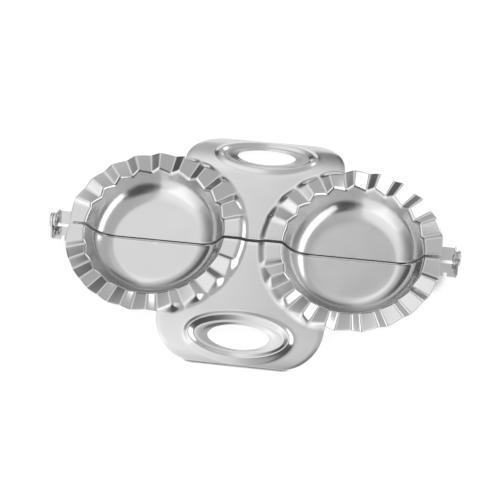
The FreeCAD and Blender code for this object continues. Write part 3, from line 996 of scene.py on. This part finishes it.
@dataclass
class Hinge:
    """One riveted hinge: two bent lugs, the washer between their ears and the rivet through them."""

    side: Side
    sheet_finish: BrushedSteel
    turned_finish: BrushedSteel
    axle_level: float = 12.7
    clinch_face: float = 103.55
    clinch_rise: float = 1.0
    clinch_radius: float = 3.0
    pin_radius: float = 1.72
    head_face: float = 105.87
    head_radius: float = 4.0
    head_rise: float = 1.25
    head_rim: float = 0.45
    washer_face: float = 104.45
    washer_gauge: float = 0.6
    washer_radius: float = 3.4
    dimple: tuple[float, ...] = (0.45, 0.3, 0.08)
    dome_rows: int = 12
    burr: float = 0.12
    burr_steps: int = 3
    sharp: float = 35.0

    def rivet_profile(self) -> np.ndarray:
        """Draw the rivet from its clinched end to its head.

        The clinched end is a quarter oval with a dimple, the pin is straight, and the head is a short
        upright rim under a low dome: a quarter oval from the rim to the middle.

        Returns:
            Rows of place along X and radius.
        """
        swing = np.linspace(0, np.pi / 2, self.dome_rows)
        end = self.clinch_face - self.clinch_rise * np.cos(swing)
        end[: len(self.dimple)] += self.clinch_rise * np.array(self.dimple)
        clinch = np.column_stack((end, self.clinch_radius * np.sin(swing)))
        pin = [[self.clinch_face, self.pin_radius], [self.head_face, self.pin_radius]]
        under = [self.head_face, self.head_radius - self.burr]
        rim = [self.head_face + self.burr, self.head_radius]
        crown = self.head_face + self.head_rim + (self.head_rise - self.head_rim) * np.sin(swing)
        dome = np.column_stack((crown, self.head_radius * np.cos(swing)))
        return np.vstack([clinch, pin, under, rim, dome])

    def washer_profile(self) -> np.ndarray:
        """Draw the washer's section: a rectangle with its two outer corners cut.

        Returns:
            Rows of place along X and radius, back to the first point.
        """
        inner, outer = self.pin_radius + self.burr, self.washer_radius
        near, far = self.washer_face, self.washer_face + self.washer_gauge
        cut = self.burr
        near_side = [[near, inner], [near, outer - cut], [near + cut, outer]]
        far_side = [[far - cut, outer], [far, outer - cut], [far, inner]]
        return np.array([*near_side, *far_side, near_side[0]])

    def build_turned(self, name: str, profile: np.ndarray, node: str) -> bpy.types.Object:
        """Turn a piece about the axle and let it stand for its node.

        Args:
            name: Name of the piece.
            profile: Rows of place along X and radius, on the right of the press.
            node: Node that it stands for.

        Returns:
            The piece.
        """
        mirrored = profile * np.array([self.side.value, 1])
        piece = turned(mirrored, (0.0, self.axle_level)).piece(name)
        piece.data.set_sharp_from_angle(angle=np.radians(self.sharp))
        piece.data.materials.append(self.turned_finish.material())
        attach(piece, Half.FRONT.body)
        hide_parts(node)
        return piece

    def build_lug(self, half: Half, node: bpy.types.Object) -> bpy.types.Object:
        """Copy a lug from its node, ease its cut edges and let the copy stand for the node.

        Args:
            half: Half that the lug belongs to.
            node: Node of the frame.

        Returns:
            The piece.
        """
        piece = Surface.from_node(node).piece(f"{half.word}_hinge_lug_{self.side.word}")
        piece.data.set_sharp_from_angle(angle=np.radians(self.sharp))
        ease = piece.modifiers.new("eased_edges", "BEVEL")
        ease.width = self.burr * MM
        ease.segments = self.burr_steps
        ease.limit_method = "ANGLE"
        ease.angle_limit = np.radians(self.sharp)
        ease.harden_normals = True
        piece.data.materials.append(self.sheet_finish.material())
        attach(piece, half.body)
        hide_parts(node.name)
        return piece

    def build(self, nodes: dict[str, bpy.types.Object]) -> list[bpy.types.Object]:
        """Make the two lugs, the washer and the rivet.

        Args:
            nodes: Nodes of the frame by name.

        Returns:
            The four pieces.
        """
        word = self.side.word
        pieces = [self.build_lug(half, nodes[f"{half.word}_lug_{word}"]) for half in Half]
        washer = self.build_turned(f"flat_washer_{word}", self.washer_profile(), f"washer_{word}")
        rivet = self.build_turned(f"domed_rivet_{word}", self.rivet_profile(), f"rivet_{word}")
        return [*pieces, washer, rivet]


# Studio


def bearing_vector(bearing: float, elevation: float) -> Vector:
    """Give the unit vector of a bearing from +X towards +Y and an elevation over the table."""
    turn, lift = np.radians((bearing, elevation))
    return Vector((np.cos(lift) * np.cos(turn), np.cos(lift) * np.sin(turn), np.sin(lift)))


@dataclass(frozen=True)
class WallTone:
    """A soft-edged patch of the room: where its middle is, its even core and its reach, and its tone."""

    name: str
    bearing: float
    elevation: float
    core: float
    reach: float
    tone: float

    def tone_of(self, tree: bpy.types.NodeTree, ray: bpy.types.NodeSocket) -> bpy.types.NodeSocket:
        """Give the tone in a ray's direction: the patch's own in its core, and 1 past its reach.

        Args:
            tree: Node tree of the room.
            ray: Output that holds the direction.

        Returns:
            The output that holds the tone.
        """
        middle = bearing_vector(self.bearing, self.elevation)
        near = add_node(
            tree, "ShaderNodeVectorMath", {0: ray, 1: middle}, operation="DOT_PRODUCT", label=self.name
        )
        tone = add_node(
            tree,
            "ShaderNodeMapRange",
            {
                "Value": near.outputs["Value"],
                "From Min": np.cos(np.radians(self.reach)),
                "From Max": np.cos(np.radians(self.core)),
                "To Min": 1.0,
                "To Max": self.tone,
            },
            interpolation_type="SMOOTHSTEP",
        )
        return tone.outputs["Result"]


@dataclass(frozen=True)
class SoftBox:
    """A square-edged lamp: where it hangs, the point that it faces, its width and height, and its power."""

    name: str
    place: tuple[float, float, float]
    target: tuple[float, float, float]
    width: float
    height: float
    power: float

    def build(self) -> None:
        """Hang the lamp and turn it to its target."""
        light = bpy.data.lights.new(self.name, "AREA")
        light.shape = "RECTANGLE"
        light.size = self.width * MM
        light.size_y = self.height * MM
        light.energy = self.power
        item = in_scene(self.name, light)
        item.location = Vector(self.place) * MM
        towards = Vector(self.target) - Vector(self.place)
        item.rotation_euler = towards.to_track_quat("-Z", "Y").to_euler()


@dataclass
class Studio:
    """White table, a room of soft tones, soft boxes and the camera of the photograph."""

    lens: float = 105.7
    sensor: float = 36.0
    camera_place: tuple[float, float, float] = (88.5, -357.6, 673.9)
    camera_right: tuple[float, float, float] = (0.98845, 0.13985, -0.05852)
    camera_up: tuple[float, float, float] = (-0.09542, 0.87391, 0.47664)
    camera_range: tuple[float, float] = (10.0, 50000.0)
    table_half: float = 4000.0
    table_rows: int = 3
    room_colour: str = "#FFFFFF"
    room_level: float = 1.0
    patches: tuple[WallTone, ...] = (
        WallTone("right_wall", 0.0, 0.0, 92.5, 98.0, 0.58),
        WallTone("rear_left_wall", 145.0, 18.0, 22.0, 46.0, 0.55),
        WallTone("rear_low_wall", 95.0, 0.0, 16.0, 34.0, 0.65),
        WallTone("dark_rear_left", 134.0, 15.0, 9.0, 25.0, 0.24),
        WallTone("dark_rear", 82.0, 9.0, 5.0, 17.0, 0.4),
        WallTone("dark_front", -65.0, 40.0, 13.0, 32.0, 0.18),
        WallTone("pale_front", -87.0, 50.0, 3.0, 14.0, 1.45),
        WallTone("pale_rear", 92.0, 47.0, 6.0, 18.0, 1.3),
        WallTone("low_left_wall", -178.0, 8.0, 10.0, 52.0, 0.5),
        WallTone("low_right_wall", 8.0, 8.0, 8.0, 28.0, 0.55),
        WallTone("bright_front_left", -148.0, 47.0, 15.0, 58.0, 1.2),
    )
    lamps: tuple[SoftBox, ...] = (
        SoftBox("front_left_box", (-792.0, -555.0, 711.0), (0.0, 0.0, 0.0), 850.0, 1050.0, 0.8),
        SoftBox("right_box", (150.0, 25.0, 160.0), (0.0, 25.0, 160.0), 330.0, 120.0, 0.17),
    )

    def build_table(self) -> None:
        """Lay the table at the level that the press stands on."""
        line = np.linspace(-self.table_half, self.table_half, self.table_rows) * MM
        x, y = np.meshgrid(line, line)
        points = np.stack((x, y, np.zeros_like(x)), axis=-1).reshape(-1, 3)
        mesh = bpy.data.meshes.new("table")
        faces = grid_quads(self.table_rows, self.table_rows, 0)[:, ::-1]
        mesh.from_pydata(points.tolist(), [], faces.tolist())
        mesh.materials.append(TablePaint().material())
        table = in_scene("table", mesh)

    def build_world(self) -> None:
        """Surround the press with the room's tones; the room is white to the eye."""
        world = bpy.data.worlds.new("pale_room")
        world.use_nodes = True
        tree = world.node_tree
        tree.nodes.clear()
        ray = add_node(tree, "ShaderNodeTexCoord").outputs["Generated"]
        level = self.room_level
        for patch in self.patches:
            level = add_node(
                tree, "ShaderNodeMath", {0: level, 1: patch.tone_of(tree, ray)}, operation="MULTIPLY"
            ).outputs["Value"]
        colour = linear(self.room_colour)
        room = add_node(tree, "ShaderNodeBackground", {"Color": colour, "Strength": level})
        white = add_node(tree, "ShaderNodeBackground", {"Color": colour})
        eye = add_node(tree, "ShaderNodeLightPath").outputs["Is Camera Ray"]
        mixed = add_node(
            tree,
            "ShaderNodeMixShader",
            {0: eye, 1: room.outputs["Background"], 2: white.outputs["Background"]},
        )
        add_node(tree, "ShaderNodeOutputWorld", {"Surface": mixed.outputs["Shader"]})
        bpy.context.scene.world = world

    def build_camera(self) -> None:
        """Set the camera where the photograph was taken from."""
        right, up = Vector(self.camera_right), Vector(self.camera_up)
        back = right.cross(up)
        turn = Matrix((right, up, back)).transposed().to_4x4()
        camera = bpy.data.cameras.new("camera")
        camera.lens = self.lens
        camera.sensor_width = self.sensor
        camera.clip_start, camera.clip_end = (limit * MM for limit in self.camera_range)
        item = in_scene("camera", camera)
        item.matrix_world = Matrix.Translation(Vector(self.camera_place) * MM) @ turn
        bpy.context.scene.camera = item

    def build(self) -> None:
        """Build the whole studio."""
        self.build_table()
        self.build_world()
        for lamp in self.lamps:
            lamp.build()
        self.build_camera()
        bpy.context.scene.view_settings.view_transform = "Standard"


def main() -> None:
    """Build the press and its studio, piece by piece."""
    logging.basicConfig(level=logging.INFO, format="%(name)s: %(message)s")
    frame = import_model()
    sheet_steel = BrushedSteel("satin_stainless_sheet", "#D5D5D5", 0.17, Grain.ALONG_PRESS)
    turned_steel = BrushedSteel("turned_stainless", "#D0D0D0", 0.22, Grain.ROUND_AXLE)
    pieces = [PressedHalf(half, sheet_steel).build() for half in Half]
    for side in Side:
        pieces += Hinge(side, sheet_steel, turned_steel).build(frame["nodes"])
    Studio().build()
    for piece in pieces:
        log.info("%s: %d faces", piece.name, len(piece.data.polygons))


if __name__ == "__main__":
    main()
